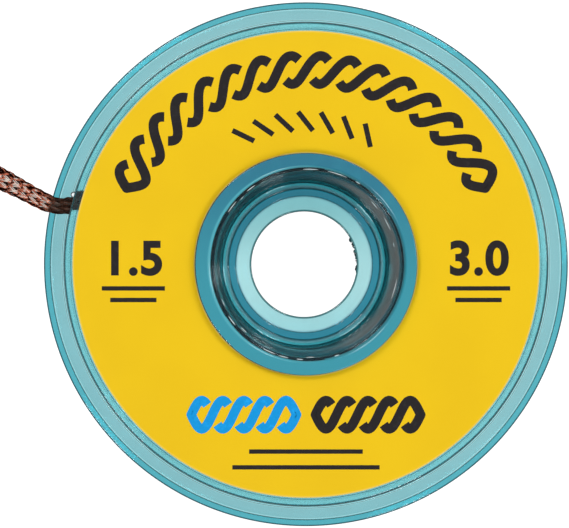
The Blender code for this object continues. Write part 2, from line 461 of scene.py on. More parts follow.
def object_place(tree):
    """Object coordinates, their three parts, and the distance from the bobbin's axis."""
    vector = object_vector(tree)
    parts = add(tree, "ShaderNodeSeparateXYZ", Vector=vector).outputs
    return vector, parts, line_distance(tree, parts, (0.0, 0.0))


def line_distance(tree, parts, centre):
    """Distance from an upright line through a place."""
    across, along = (math_node(tree, "SUBTRACT", parts[axis], centre[axis]) for axis in (0, 1))
    flat = add(tree, "ShaderNodeCombineXYZ", X=across, Y=along).outputs[0]
    return add(tree, "ShaderNodeVectorMath", operation="LENGTH", i0=flat).outputs["Value"]


def tinted_plastic(name, zones, hub_shade=False):
    """Clear aqua plastic: tinted in its depth, with faint turning marks, haze and scratches.

    The zones are rings (start radius, end radius, centre along X, tint, softness) where walls
    and edges draw darker: painted shade. The tint carries more painted shade: in the well round
    the hole, strongest towards +Y and a little towards -Y; on the rim towards -X and -Y; and,
    where asked, on the funnel hub towards +X and +Y.
    """
    colours = values("bobbin_colours")
    material, tree, shader = blank_material(name)
    vector, parts, radius = object_place(tree)
    mottle = noise(tree, vector, 260.0)
    streak = noise(tree, vector, 90.0, 4.0, 0.6, (1.0, 9.0, 1.0))
    tint = blend(tree, ramp(tree, mottle, 0.35, 0.75), colours.plastic,
                 [0.95 * part for part in colours.plastic])
    # Painted shade: the well round the hole darker towards +Y and a little towards -Y, the rim darker
    # towards -X and -Y
    well = ramp(tree, radius, 8.0 * MM, 6.8 * MM)
    plus_y_shade = times(tree, ramp(tree, parts[1], -1 * MM, 6.5 * MM), well)
    near = times(tree, ramp(tree, parts[1], -2 * MM, -6.5 * MM), well)
    slant = math_node(tree, "ADD", parts[0], parts[1])
    rim_shade = times(tree, ramp(tree, slant, 12 * MM, -20 * MM), ramp(tree, radius, 22.0 * MM, 23.0 * MM))
    for share, shade in ((plus_y_shade, (0.52, 0.72, 0.74)), (near, (0.84, 0.92, 0.935)),
                         (rim_shade, (0.90, 0.955, 0.965))):
        tint = shaded(tree, share, tint, shade)
    haze = times_plus(tree, ramp(tree, streak, 0.45, 0.8), 0.07, 0.035)
    # Painted shade on the funnel hub, darker towards +X and +Y
    if hub_shade:
        hub = times(tree, ramp(tree, radius, 9.5 * MM, 9.0 * MM), ramp(tree, radius, 7.0 * MM, 7.9 * MM))
        lean = times_plus(tree, parts[1], 0.6, parts[0])
        tint = shaded(tree, times(tree, hub, ramp(tree, lean, -7 * MM, 3 * MM)), tint, (0.40, 0.67, 0.68))
        haze = times_plus(tree, hub, 0.08, haze)
    # Painted shade: each zone darkens its ring
    for start, end, centre, shade, soft in zones:
        spread = line_distance(tree, parts, (centre, 0.0)) if centre else radius
        inside = times(tree, ramp(tree, spread, start - soft, start + soft),
                       ramp(tree, spread, end + soft, end - soft))
        tint = shaded(tree, inside, tint, shade)
    rings = sine(tree, times(tree, radius, 9000.0))
    scratches = noise(tree, vector, 700.0, 2.0, 0.5, (1.0, 14.0, 1.0))
    height = times_plus(tree, rings, 0.12, ramp(tree, scratches, 0.68, 0.72))
    set_inputs(tree, shader, Base_Color=tint, Roughness=haze, Normal=bump(tree, height, 0.05, 0.02 * MM),
               IOR=1.5, Transmission_Weight=1.0)
    depth = [-math.log(part) for part in colours.plastic_depth]
    density = 1.05 * max(depth)
    absorb = add(tree, "ShaderNodeVolumeAbsorption", Density=density / MM,
                 Color=(*[1.0 - part / density for part in depth], 1.0))
    tree.links.new(absorb.outputs[0], tree.nodes["Material Output"].inputs["Volume"])
    return material


def frosted_collar():
    """The collar's flat top, frosted so that nothing dark shows through it."""
    base = values("bobbin_colours").collar
    material, tree, shader = blank_material("frosted_collar")
    vector, parts, radius = object_place(tree)
    # Painted shade: a darker, cooler copy of the collar's teal, laid on more towards +Y
    shaded_collar = (base[0] * 0.30, base[1] * 0.58, base[2] * 0.70)
    back_shade = ramp(tree, parts[1], -4.0 * MM, 10.5 * MM)
    patches = noise(tree, vector, 420.0, 4.0)
    share = times(tree, back_shade, ramp(tree, patches, 0.25, 0.55, 0.75, 1.0))
    # Painted highlight: lighter teal along the mouth's rounded edge
    mouth = ramp(tree, radius, 9.45 * MM, 9.25 * MM)
    shade = blend(tree, mouth, blend(tree, share, base, shaded_collar), (0.07, 0.40, 0.48))
    set_inputs(tree, shader, Base_Color=shade, Roughness=0.22, Coat_Weight=0.5, Coat_Roughness=0.06,
               Normal=bump(tree, patches, 0.12, 0.03 * MM))
    return material


def nib_glint(centre, size):
    """The nib where the cover was cut from its runner: painted white on top as a highlight, painted dark
    down its sides as shade.
    """
    material, tree, shader = blank_material("nib_glint")
    vector, parts, _ = object_place(tree)
    glint_grain = noise(tree, vector, 5000.0, 3.0)
    # Painted highlight: the nib's top drawn white
    glint_white = blend(tree, ramp(tree, glint_grain, 0.3, 0.7), (0.98, 1.0, 1.0), (0.86, 0.94, 0.95))
    # Painted shade: the nib's sides drawn near-black
    side = ramp(tree, line_distance(tree, parts, centre), 0.62 * size, 0.72 * size)
    set_inputs(tree, shader, Base_Color=blend(tree, side, glint_white, (0.004, 0.018, 0.022)), Roughness=0.3,
               Normal=bump(tree, glint_grain, 0.3, 0.03 * MM))
    return material


def glint_plastic():
    """White plastic for painted highlights, varied along fine marks."""
    material, tree, shader = blank_material("glint_plastic")
    glint_grain = noise(tree, object_vector(tree), 3000.0, 3.0)
    glint_white = blend(tree, ramp(tree, glint_grain, 0.35, 0.6), (0.98, 1.0, 1.0), (0.80, 0.95, 0.96))
    set_inputs(tree, shader, Base_Color=glint_white, Roughness=0.2, Normal=bump(tree, glint_grain, 0.2, 0.01 * MM))
    return material


def label_paper():
    """Yellow coated paper with fine fibres in it and a pale cut edge."""
    red, green, blue = values("bobbin_colours").label
    sizes = values("bobbin_sizes")
    material, tree, shader = blank_material("label_paper")
    vector, _, radius = object_place(tree)
    fibres = noise(tree, vector, 1500.0, 5.0, 0.65, (1.0, 2.2, 1.0))
    clouds = noise(tree, vector, 120.0, 2.0)
    paper = blend(tree, ramp(tree, clouds, 0.3, 0.7), (red, green, 0.5 * blue),
                  (0.97 * red, 0.955 * green, 0.5 * blue))
    paper = blend(tree, ramp(tree, fibres, 0.62, 0.8, 0.0, 0.12), paper, (0.95, 0.70, 0.12))
    outer = ramp(tree, radius, sizes.label_outer - 0.22 * MM, sizes.label_outer, 0.0, 0.20)
    inner = ramp(tree, radius, sizes.label_inner + 0.16 * MM, sizes.label_inner, 0.0, 0.30)
    rim = math_node(tree, "MAXIMUM", outer, inner)
    set_inputs(tree, shader, Base_Color=blend(tree, rim, paper, (0.93, 0.86, 0.62)),
               Roughness=times_plus(tree, fibres, 0.2, 0.36), Specular_IOR_Level=0.15,
               Normal=bump(tree, fibres, 0.15, 0.01 * MM))
    return material


def print_ink(name, tone):
    """Matt printing ink with the paper's tooth showing in it."""
    material, tree, shader = blank_material(name)
    tooth = noise(tree, object_vector(tree), 1900.0, 3.0)
    lighter = [min(1.0, part * 1.25 + 0.006) for part in tone]
    set_inputs(tree, shader, Base_Color=blend(tree, ramp(tree, tooth, 0.5, 0.8), tone, lighter),
               Roughness=0.42, Specular_IOR_Level=0.2, Normal=bump(tree, tooth, 0.1, 0.01 * MM))
    return material


def braid_copper():
    """Bare copper wire with painted light: painted highlights on the weave's crowns, painted shade in its
    dips and near the slot.
    """
    colours = values("bobbin_colours")
    material, tree, shader = blank_material("braid_copper")
    vector, _, radius = object_place(tree)
    grain = noise(tree, vector, 900.0, 4.0, 0.6)
    # The crown attribute carries painted light: high on the crowns, low in the dips and at the braid's edges
    crown = add(tree, "ShaderNodeAttribute", attribute_name="crown").outputs["Fac"]
    ragged = times_plus(tree, noise(tree, vector, 2300.0, 2.0), 0.9, crown)
    raised = ramp(tree, ragged, 0.56, 0.84)
    glinting = ramp(tree, ragged, 1.00, 1.16)
    metal = blend(tree, raised, colours.copper_dip_shade, colours.copper)
    metal = blend(tree, glinting, metal, colours.copper_crown_glint)
    # Painted shade near the slot, out to just past the lip, with a rougher finish there
    slot_shade = ramp(tree, times_plus(tree, grain, 1.6 * MM, radius), 27.0 * MM, 25.4 * MM, 0.0, 0.95)
    glint = times_plus(tree, glinting, 0.2, times(tree, raised, 0.6))
    bare = times(tree, glint, math_node(tree, "SUBTRACT", 1.0, slot_shade))
    draw_marks = noise(tree, vector, 4000.0, 2.0)
    set_inputs(tree, shader, Base_Color=blend(tree, slot_shade, metal, colours.copper_slot_shade),
               Metallic=math_node(tree, "SUBTRACT", 1.0, bare),
               Roughness=times_plus(tree, slot_shade, 0.3, times_plus(tree, grain, 0.16, 0.08)),
               Normal=bump(tree, draw_marks, 0.2, 0.01 * MM))
    return material


def wound_copper():
    """Braid in the winding: the weave runs along each turn, from the piece's own UV map."""
    braid = values("braid_sizes")
    material, tree, shader = blank_material("wound_copper")
    vector, _, radius = object_place(tree)
    uv = add(tree, "ShaderNodeUVMap", uv_map="UVMap").outputs[0]
    along, across = add(tree, "ShaderNodeSeparateXYZ", Vector=uv).outputs[:2]
    slope = 1.0 / braid.lay
    one_way, other_way = (
        sine(tree, times(tree, times_plus(tree, along, side * slope, across), FULL_TURN * braid.carriers))
        for side in (1.0, -1.0))
    over = ramp(tree, sine(tree, times(tree, along, FULL_TURN * braid.carriers * slope)), -0.5, 0.5)
    under = math_node(tree, "SUBTRACT", 1.0, over)
    weave = math_node(tree, "ADD", times(tree, one_way, over), times(tree, other_way, under))
    grain = noise(tree, vector, 700.0, 4.0)
    # Painted highlight and shade: the weave's crossings drawn bright and dim
    bright, dimmer = (0.97, 0.40, 0.25), (0.4365, 0.144, 0.08)
    metal = blend(tree, ramp(tree, weave, -0.6, 0.7), dimmer, bright)
    metal = blend(tree, ramp(tree, grain, 0.4, 0.7, 0.0, 0.6), metal, dimmer)
    # Painted shade: the inner turns, seen through the funnel, drawn dark grey
    inner = ramp(tree, radius, 11.6 * MM, 10.4 * MM)
    metal = blend(tree, inner, blend(tree, 1.0, metal, (1.0, 0.52, 0.42), "MULTIPLY"),
                  blend(tree, 1.0, metal, (0.40, 0.42, 0.42), "MULTIPLY"))
    set_inputs(tree, shader, Base_Color=metal, Metallic=times_plus(tree, inner, 0.8, 0.2),
               Roughness=times_plus(tree, grain, 0.25, 0.25), Normal=bump(tree, weave, 0.8, 0.05 * MM))
    return material


def flare(height, narrow, wide):
    """Radius at a height of a smooth flare from over the base's tube up to the collar."""
    sizes = values("bobbin_sizes")
    share = (height - sizes.tube_top) / (sizes.collar_top - sizes.tube_top)
    share = min(max(share, 0.0), 1.0)
    return narrow + (wide - narrow) * math.sin(share * math.pi / 2)


def funnel_radius(height):
    """The flare that the funnel's outside follows, one wall in from it."""
    sizes = values("bobbin_sizes")
    return flare(height, sizes.neck_radius, sizes.mouth_radius)


def bore_radius(height):
    """The funnel's own bore, from the step over the tube to the ledge in the mouth."""
    sizes = values("bobbin_sizes")
    return flare(height, sizes.neck_radius, sizes.mouth_radius - sizes.mouth_ledge)


def spaced(low, high, count):
    return [low + (high - low) * step / count for step in range(count + 1)]


def base_outline():
    """Lip, flat back, hole and hub tube, with the small roundings a mould leaves."""
    sizes = values("bobbin_sizes")
    floor = sizes.base_thickness
    lip_inside = sizes.base_radius - sizes.lip_width
    tube_outside = sizes.tube_bore + sizes.tube_wall
    lip, edge, foot, bead, sharp = (part * MM for part in (0.2, 0.12, 0.06, 0.1, 0.05))
    bead_radius = sizes.cover_radius + 0.22 * MM
    return [
        *arc((sizes.base_radius - lip, sizes.lip_top - lip), lip, 90, 0, 6),
        *arc((sizes.base_radius - lip, lip), lip, 0, -90, 6),
        *arc((sizes.hole_radius + edge, edge), edge, 270, 180, 4),
        *arc((sizes.hole_radius + edge, floor - edge), edge, 180, 90, 4),
        *arc((sizes.tube_bore - foot, floor + foot), foot, 270, 360, 7),
        *arc((sizes.tube_bore + edge, sizes.tube_top - edge), edge, 180, 90, 4),
        *arc((tube_outside - edge, sizes.tube_top - edge), edge, 90, 0, 4),
        *arc((tube_outside + edge, floor + edge), edge, 180, 270, 4),
        *arc((bead_radius, floor), bead, 180, 0, 6),
        *arc((lip_inside - bead, floor + bead), bead, 270, 360, 5),
        *arc((lip_inside + sharp, sizes.lip_top - sharp), sharp, 180, 90, 3),
    ]


def cover_outline():
    """Rim, overhang, skirt, funnel hub, flat-topped collar and the label's bed."""
    sizes = values("bobbin_sizes")
    neck, mouth, tube_top = sizes.neck_radius, sizes.mouth_radius, sizes.tube_top
    under = sizes.cover_top - sizes.cover_thickness
    skirt = sizes.cover_radius - sizes.overhang
    skirt_inside = skirt - sizes.skirt_wall
    rim, edge, fillet, corner, brow, brink = (
        part * MM for part in (0.2, 0.12, 0.25, 0.28, 0.18, 0.06))
    foot = sizes.cover_foot
    wall = sizes.skirt_wall
    outline = arc((sizes.cover_radius - rim, sizes.cover_top - rim), rim, 90, 0, 7)
    outline += arc((sizes.cover_radius - edge, under + edge), edge, 0, -90, 4)
    outline += arc((skirt + edge, under - edge), edge, 90, 180, 4)
    outline += arc((skirt - edge, foot + edge), edge, 0, -90, 4)
    outline += arc((skirt_inside + edge, foot + edge), edge, 270, 180, 4)
    outline += arc((skirt_inside - fillet, under - fillet), fillet, 0, 90, 5)
    hub_top = funnel_radius(under - fillet) + wall
    outline += arc((hub_top + fillet, under - fillet), fillet, 90, 180, 5)
    outline += [(funnel_radius(height) + wall, height)
                for height in reversed(spaced(tube_top, under - 2 * fillet, 12))]
    outline += arc((neck + wall - edge, foot + edge), edge, 0, -90, 4)
    outline += arc((neck + edge, foot + edge), edge, 270, 180, 4)
    seat, step = tube_top + 0.06 * MM, tube_top + TUBE_STEP
    lip, hollow = 0.05 * MM, 0.5 * MM
    outline.append((neck, seat))
    outline += arc((neck - sizes.neck_step + lip, seat + lip), lip, 270, 180, 2)
    outline += arc((neck - sizes.neck_step + lip, step - lip), lip, 180, 90, 2)
    outline += arc((neck, step + hollow), hollow, 270, 360, 8)
    ledge = sizes.collar_top - LEDGE_DEPTH
    outline += [(bore_radius(height), height)
                for height in spaced(funnel_height(neck + hollow) + 0.1 * MM, ledge - brow, 14)]
    outline += arc((bore_radius(ledge) + brow, ledge - brow), brow, 180, 80, 8)[1:]
    outline.append((mouth, ledge + 0.12 * MM))
    outline += arc((mouth + corner, sizes.collar_top - corner), corner, 180, 90, 8)
    outline += arc((sizes.collar_radius - brink, sizes.collar_top - brink), brink, 90, 0, 3)
    bed_end = sizes.label_outer + 0.12 * MM
    return outline + [(sizes.collar_radius, sizes.label_bed), (bed_end, sizes.label_bed),
                      (bed_end + 0.05 * MM, sizes.cover_top)]


def shift_along_x(obj, offset):
    """Moves each vertex along X, as far as the offset says for its place."""
    for vert in obj.data.vertices:
        vert.co.x += offset(vert.co)


def eased(value, low, high):
    """A smooth step from 0 at low to 1 at high."""
    share = min(max((value - low) / (high - low), 0.0), 1.0)
    return share * share * (3 - 2 * share)


def funnel_lean(height):
    """How far the funnel stands off the axis along X: over the tube one way, at the mouth the other."""
    sizes = values("bobbin_sizes")
    lean = sizes.mouth_offset + sizes.tube_offset
    return lean * eased(height, sizes.tube_top + 2 * MM, sizes.label_bed) - sizes.tube_offset


class BOBBIN_OT_base(bpy.types.Operator):
    """Moulds the base: disc, lip, through hole with its ragged flash, and hub tube"""

    bl_idname = "bobbin.base"
    bl_label = "Base moulding"

    def execute(self, context):
        sizes = values("bobbin_sizes")
        base = turned("base_moulding", base_outline())
        flash_start, flash_end = math.radians(-10), math.radians(29)
        bpy.ops.object.mode_set(mode="EDIT")
        bpy.ops.mesh.select_mode(type="VERT")
        pick(base, lambda place: from_axis(place) < sizes.hole_radius + 0.03 * MM
             and flash_start < math.atan2(place.y, place.x) < flash_end and place.z > 0.2 * MM)
        bpy.ops.transform.vertex_random(offset=0.16 * MM, uniform=0.0, normal=0.7, seed=11)
        bpy.ops.transform.translate(value=(-0.05 * MM, 0.0, 0.0))
        bpy.ops.object.mode_set(mode="OBJECT")
        near, far = sizes.tube_bore + 2 * sizes.tube_wall, 2 * sizes.tube_bore
        shift_along_x(base, lambda place: sizes.tube_offset * (eased(from_axis(place), near, far) - 1.0))
        smooth(base, SMOOTH_BELOW)
        hub = -sizes.tube_offset
        bore, tube = sizes.tube_bore, sizes.tube_bore + sizes.tube_wall
        lip_inside = sizes.base_radius - sizes.lip_width
        thin, wide = 0.04 * MM, 0.2 * MM
        # Painted shade: darker rings at the hole's edge, over the floor and the tube, across the flange
        # between cover and lip, on the lip and at the outer edge
        zones = (
            (0.0, sizes.hole_radius + 0.19 * MM, hub, (0.12, 0.27, 0.28), thin),
            (sizes.hole_radius, bore, hub, (0.906, 0.925, 0.918), thin),
            (bore - 0.05 * MM, tube + wide, hub, (0.434, 0.573, 0.677), wide),
            (tube - 0.06 * MM, tube + 0.02 * MM, hub, (0.6, 0.7, 0.7), thin),
            (sizes.cover_radius + 0.36 * MM, lip_inside - 0.12 * MM, 0.0, (0.583, 0.702, 0.723), thin),
            (lip_inside + 0.04 * MM, 2 * sizes.base_radius, 0.0, (0.72, 0.82, 0.86), thin),
            (sizes.base_radius - 0.13 * MM, 2 * sizes.base_radius, 0.0, (0.14, 0.28, 0.32), thin),
        )
        coat(base, tinted_plastic("base_plastic", zones))
        placed(base, "bobbin", "tinted_plastic", "base_shell")
        return {"FINISHED"}


class BOBBIN_OT_cover(bpy.types.Operator):
    """Moulds the cover: disc, skirt with the braid's slot, funnel hub, collar and gate nib"""

    bl_idname = "bobbin.cover"
    bl_label = "Cover moulding"

    def execute(self, context):
        sizes = values("bobbin_sizes")
        cover = turned("cover_moulding", cover_outline())
        middle = sizes.cover_radius - sizes.overhang - sizes.skirt_wall / 2
        deselect()
        bpy.ops.mesh.primitive_cube_add(
            size=1.0, location=(*polar(middle, SLOT_ANGLE), (SLOT_LOW + SLOT_HIGH) / 2),
            rotation=(0.0, 0.0, SLOT_ANGLE), scale=(*SLOT_SIZE, SLOT_HIGH - SLOT_LOW))
        cutter = bpy.context.object
        apply_place()
        bpy.ops.object.mode_set(mode="EDIT")
        pick(cutter, lambda place: place.z > SLOT_HIGH - 0.1 * MM)
        bpy.ops.mesh.bevel(offset=SLOT_ROUNDING, segments=5, affect="EDGES")
        carve(cover, cutter, "DIFFERENCE")
        deselect()
        reach = sizes.cover_radius + 0.03 * MM
        nib_place = Vector((*polar(reach, NIB_ANGLE), sizes.cover_top - 0.45 * MM))
        bpy.ops.mesh.primitive_uv_sphere_add(
            segments=24, ring_count=14, radius=NIB_RADIUS, location=nib_place)
        bead = bpy.context.object
        apply_place()
        carve(cover, bead, "UNION")
        mouth = sizes.mouth_radius
        near, far = mouth + 0.3 * MM, sizes.collar_radius - 0.1 * MM
        shift_along_x(cover, lambda place: funnel_lean(place.z) * (1.0 - eased(from_axis(place), near, far)))
        smooth(cover, SMOOTH_BELOW)
        thin = 0.04 * MM
        bore = sizes.neck_radius
        # Painted shade: darker rings at the funnel's step and neck, at the mouth, over the cover's outer
        # ring and at its edge
        zones = (
            (bore - sizes.neck_step - 0.1 * MM, bore, -sizes.tube_offset, (0.62, 0.78, 0.80), thin),
            (bore, bore + 0.5 * MM, -sizes.tube_offset, (0.8, 0.87, 0.87), thin),
            (mouth - 0.14 * MM, mouth + 0.12 * MM, sizes.mouth_offset, (0.8, 0.92, 0.92), thin),
            (sizes.label_outer, sizes.cover_radius - 0.2 * MM, 0.0, (0.97, 0.95, 0.94), thin),
            (sizes.cover_radius - 0.15 * MM, 2 * sizes.cover_radius, 0.0, (0.12, 0.40, 0.47), thin),
        )
        coat(cover, tinted_plastic("cover_plastic", zones, hub_shade=True), frosted_collar(),
             nib_glint(nib_place, NIB_RADIUS))
        for face in cover.data.polygons:
            spread = math.hypot(face.center.x - sizes.mouth_offset * 0.5, face.center.y)
            on_collar = mouth - 0.02 * MM < spread < sizes.label_inner
            if on_collar and face.center.z > sizes.label_bed + 0.1 * MM:
                face.material_index = 1
            elif (face.center - nib_place).length < NIB_RADIUS * 1.02 and face.normal.z > 0.05:
                face.material_index = 2
        placed(cover, "bobbin", "tinted_plastic", "cover_shell")
        return {"FINISHED"}


def funnel_height(radius):
    """Height at which the funnel's bore has a radius, up to the ledge, found by halving."""
    sizes = values("bobbin_sizes")
    low, high = sizes.tube_top + TUBE_STEP, sizes.collar_top - LEDGE_DEPTH
    halvings = 40
    for _ in range(halvings):
        middle = (low + high) / 2
        if bore_radius(middle) < radius:
            low = middle
        else:
            high = middle
    return low


class BOBBIN_OT_glints(bpy.types.Operator):
    """Lays white strips in the funnel's mouth as painted highlights, where the lamps would glint"""

    # Painted highlights, drawn as white strips
    bl_idname = "bobbin.scuffs"
    bl_label = "Mouth scuffs"

    def execute(self, context):
        sizes = values("bobbin_sizes")
        curve = bevelled_curve("scuffs", 0.055 * MM, 1)
        ledge = sizes.collar_top - LEDGE_DEPTH
        for start, end, radius in MOUTH_GLINTS:
            radius *= MM
            on_ledge = radius > sizes.mouth_radius - sizes.mouth_ledge
            height = ledge if on_ledge else funnel_height(radius)
            middle = funnel_lean(height)
            count = max(3, round(abs(end - start)))
            points = [(middle + x, y, height) for x, y in arc((0.0, 0.0), radius, start, end, count)]
            for step, knot in enumerate(polyline(curve, points)):
                knot.radius = 0.25 + 0.75 * math.sin(math.pi * step / count)
        scuffs = meshed(curve, "mouth_glints")
        smooth(scuffs, 60)
        coat(scuffs, glint_plastic())
        placed(scuffs, "bobbin", "tinted_plastic")
        return {"FINISHED"}


class BOBBIN_OT_label(bpy.types.Operator):
    """Cuts the yellow label ring and lays it in the cover's bed"""

    bl_idname = "bobbin.label"
    bl_label = "Label"

    def execute(self, context):
        sizes = values("bobbin_sizes")
        low = sizes.label_bed + LABEL_GAP
        high = low + LABEL_THICKNESS
        edge = 0.03 * MM
        outline = [
            *arc((sizes.label_outer - edge, high - edge), edge, 90, 0, 3),
            (sizes.label_outer, low),
            (sizes.label_inner, low),
            *arc((sizes.label_inner + edge, high - edge), edge, 180, 90, 3),
        ]
        label = turned("label_ring", outline)
        smooth(label, SMOOTH_BELOW)
        coat(label, label_paper())
        placed(label, "bobbin", "label_paper", "label")
        return {"FINISHED"}


def printed_line(points, width):
    """A line of ink through flat points: a round curve made a mesh and pressed flat."""
    curve = bevelled_curve("ink", width / 2, 2)
    polyline(curve, [(x, y, 0.0) for x, y in points])
    obj = meshed(curve, "ink")
    obj.scale.z = INK_THICKNESS / width
    apply_place()
    return obj


def printed_rule(middle, row, half):
    """A level rule, by its middle, its height on the label and half its length in millimetres."""
    return printed_line([((middle + side * half) * MM, row * MM) for side in (-1, 1)], 0.42 * MM)


def printed_dot(place, width):
    """A round dot of ink as thick as a printed line."""
    deselect()
    bpy.ops.mesh.primitive_cylinder_add(
        vertices=28, radius=width / 2, depth=INK_THICKNESS, location=(*place, 0.0))
    apply_place()
    return bpy.context.object


def plait(place, start, end, waves):
    """Two crossing strands of ink as short lines, each broken where it passes under the other."""
    lines = []
    for strand in (0, 1):
        for cross in range(strand, waves + 1, 2):
            low = cross - 1 + PLAIT_GAP if cross > 1 else 0.0
            high = cross + 1 - PLAIT_GAP if cross < waves - 1 else float(waves)
            if high - low < 0.2:
                continue
            count = max(6, round(18 * (high - low)))
            points = []
            for step in range(count + 1):
                share = low + (high - low) * step / count
                side = math.sin(share * math.pi) * (-1) ** strand
                points.append(place(start + (end - start) * share / waves, PLAIT_SWING * side))
            lines.append(printed_line(points, PLAIT_WIDTH))
    return lines + [printed_dot(place(end_place, 0.0), PLAIT_WIDTH) for end_place in (start, end)]


def round_arc(radius):
    """Places print on an arc: an angle in degrees and a step outwards."""
    return lambda angle, step: polar(radius + step, math.radians(angle))


def straight(height):
    """Places print on a level line: a distance along it and a step up."""
    return lambda along, step: (along, height + step)


def printed_number(body, x, y, size):
    """Plain bold figures, centred on a place."""
    deselect()
    bpy.ops.object.text_add(location=(0, 0, 0))
    font = bpy.context.object.data
    font.body, font.size = body, size
    font.align_x = font.align_y = "CENTER"
    font.offset = 0.034 * size
    font.extrude = INK_THICKNESS / 2
    font.space_character = 1.08
    bpy.ops.object.convert(target="MESH")
    text = bpy.context.object
    text.location = (x, y, 0.0)
    apply_place()
    return text


def joined(name, parts, height):
    """Several meshes as one piece, laid at a height."""
    only(parts[0])
    for part in parts[1:]:
        part.select_set(True)
    bpy.ops.object.join()
    obj = named(bpy.context.object, name)
    obj.location.z = height
    apply_place()
    return obj


class BOBBIN_OT_print(bpy.types.Operator):
    """Prints the label: a plaited band, plain figures and bars, in charcoal and blue"""

    bl_idname = "bobbin.print"
    bl_label = "Label print"

    def execute(self, context):
        sizes = values("bobbin_sizes")
        colours = values("bobbin_colours")
        dark = plait(round_arc(18.5 * MM), 157.0, 23.0, 16)
        ticks = round_arc(13.6 * MM)
        for step in range(-3, 4):
            middle = 90.0 - step * 8.6
            ends = [ticks(middle - 3.0, -0.9 * MM), ticks(middle + 3.0, 0.9 * MM)]
            dark.append(printed_line(ends, 0.5 * MM))
        for column, figure in ((-16.4, "1.5"), (16.4, "3.0")):
            dark.append(printed_number(figure, column * MM, 0.4 * MM, 4.4 * MM))
            dark += [printed_rule(column, row, half) for row, half in ((-2.3, 3.0), (-3.4, 2.2))]
        dark += plait(straight(-14.3 * MM), 0.9 * MM, 10.9 * MM, 5)
        dark += [printed_rule(0.0, row, half) for row, half in ((-17.8, 5.4), (-19.3, 7.0))]
        blue = plait(straight(-14.3 * MM), -10.9 * MM, -0.9 * MM, 5)
        height = sizes.label_bed + LABEL_GAP + LABEL_THICKNESS + 0.004 * MM
        for name, parts, tone in (("label_print_dark", dark, colours.ink),
                                  ("label_print_blue", blue, colours.ink_blue)):
            ink = joined(name, parts, height)
            smooth(ink, 30)
            coat(ink, print_ink(name, tone))
            placed(ink, "bobbin", "label_paper")
        return {"FINISHED"}


def winding_route():
    """The braid's way on the hub: layer on layer, each a helix from one end to the other."""
    braid = values("braid_sizes")
    sizes = values("bobbin_sizes")
    low = sizes.base_thickness + WINDING_ROOM
    high = sizes.cover_top - sizes.cover_thickness - WINDING_ROOM
    pitch = (high - low) / braid.columns
    wall = sizes.skirt_wall + WINDING_ROOM + braid.thickness / 2
    outside = braid.winding_radius - braid.thickness / 2
    count, half_turn = (braid.columns - 1) * TURN_POINTS, TURN_POINTS // 2
    route = []
    for layer in range(braid.layers):
        for step in range(count + half_turn):
            share = min(step / count, 1.0)
            climb = share if layer % 2 == 0 else 1.0 - share
            height = low + pitch / 2 + climb * (high - low - pitch)
            bore = funnel_radius(min(height + pitch / 2, high)) + wall
            rise = min(max((step - count) / half_turn, 0.0), 1.0)
            radius = bore + (outside - bore) * (layer + rise) / (braid.layers - 1)
            route.append((*polar(radius, FULL_TURN * len(route) / TURN_POINTS), height))
    return route[:-half_turn]


class BOBBIN_OT_winding(bpy.types.Operator):
    """Winds the flat braid on the hub, turn by turn and layer on layer"""

    bl_idname = "bobbin.winding"
    bl_label = "Wound braid"

    def execute(self, context):
        braid = values("braid_sizes")
        route = winding_route()
        curve = bevelled_curve("winding", 0.9 * braid.thickness / 2, 1)
        curve.twist_mode = "Z_UP"
        curve.extrude = (braid.width - braid.thickness) / 2
        polyline(curve, route)
        winding = meshed(curve, "winding_turns")
        rim = len(winding.data.vertices) // len(route)
        self.unroll(winding.data, route, rim)
        smooth(winding, 60)
        coat(winding, wound_copper())
        placed(winding, "winding", "copper_braid", "wound_braid")
        return {"FINISHED"}

    def unroll(self, mesh, route, rim):
        """Gives the turns a UV map in metres along the braid and turns round it."""
        run = [0.0]
        for start, end in zip(route, route[1:]):
            run.append(run[-1] + (Vector(end) - Vector(start)).length)
        layer = mesh.uv_layers.get("UVMap") or mesh.uv_layers.new(name="UVMap")
        for face in mesh.polygons:
            rounds = [mesh.loops[loop].vertex_index % rim for loop in face.loop_indices]
            wraps = max(rounds) - min(rounds) > rim / 2
            for loop, place in zip(face.loop_indices, rounds):
                ring = mesh.loops[loop].vertex_index // rim
                if wraps and place < rim / 2:
                    place += rim
                layer.data[loop].uv = (run[ring], place / rim)


def smooth_route(route, steps):
    """Points on a Catmull-Rom curve through the route, with the roll carried along."""
    knots = [Vector(point) for point in route]
    knots = [2 * knots[0] - knots[1], *knots, 2 * knots[-1] - knots[-2]]
    points = []
    for before, start, end, after in zip(knots, knots[1:], knots[2:], knots[3:]):
        bend = 2 * before - 5 * start + 4 * end - after
        twist = 3 * (start - end) + after - before
        for step in range(steps):
            t = step / steps
            points.append(start + ((end - before) * t + bend * t * t + twist * t ** 3) / 2)
    points.append(knots[-2])
    return points


def tail_frames(spacing):
    """Even stations along the free end: place, width direction, flat side's normal, run."""
    fine = smooth_route(TAIL_ROUTE, 24)
    runs = [0.0]
    for start, end in zip(fine, fine[1:]):
        runs.append(runs[-1] + (end.xyz - start.xyz).length * MM)
    count = round(runs[-1] / spacing)
    stations = []
    index = 0
    for step in range(count + 1):
        run = runs[-1] * step / count
        while index < len(fine) - 2 and runs[index + 1] < run:
            index += 1
        share = (run - runs[index]) / (runs[index + 1] - runs[index])
        mixed = fine[index].lerp(fine[index + 1], share)
        ahead = (fine[index + 1].xyz - fine[index].xyz).normalized()
        up = (Vector((0, 0, 1)) - ahead.z * ahead).normalized()
        side = ahead.cross(up)
        roll = math.radians(mixed[3])
        wide = up * math.cos(roll) + side * math.sin(roll)
        stations.append((mixed.xyz * MM, wide, ahead.cross(wide), run))
    return stations


